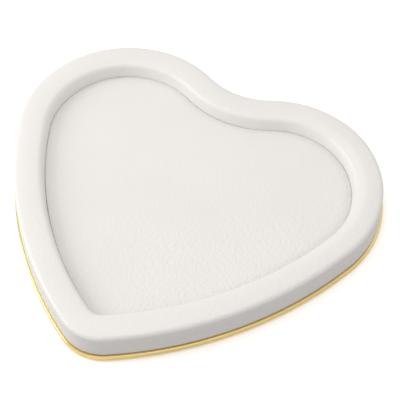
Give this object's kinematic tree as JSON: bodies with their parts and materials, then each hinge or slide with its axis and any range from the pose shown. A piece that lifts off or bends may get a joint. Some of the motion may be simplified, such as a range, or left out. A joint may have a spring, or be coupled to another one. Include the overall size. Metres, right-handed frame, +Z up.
{
  "type": "heart-shaped leather valet tray",
  "caption": "Open heart-shaped trinket tray: padded leather rim and sunken leather floor on a polished gold-tone metal base plate, for jewellery and small items.",
  "frame": {"origin": "centre of the tray's box, on the underside that rests on the table", "axes": "+Z up, +Y from the heart's tip to its cleft, +X across the two lobes; the YZ plane is the plane of symmetry"},
  "size_m": [0.21, 0.19, 0.02],
  "materials": {
    "rim_leather": "ivory full-grain leather, fine pebble grain, soft satin",
    "floor_leather": "ivory leather, fine pebble grain, soft satin",
    "polished_gold": "mirror-polished brass with a gold tone",
    "zinc_steel": "zinc-plated",
    "suede_felt": "napped felt, matte",
    "foam": "open-cell upholstery foam",
    "fibreboard": "raw medium-density fibreboard"
  },
  "bodies": {
    "root": {"base_felt": "suede_felt", "base_plate": "polished_gold", "base_screw_1": "zinc_steel", "base_screw_2": "zinc_steel", "base_screw_3": "zinc_steel", "base_screw_4": "zinc_steel", "base_screw_5": "zinc_steel", "base_screw_6": "zinc_steel", "rim_frame": "fibreboard", "rim_padding": "foam", "rim_leather": "rim_leather", "floor_board": "fibreboard", "floor_padding": "foam", "floor_leather": "floor_leather"}
  },
  "joints": []
}
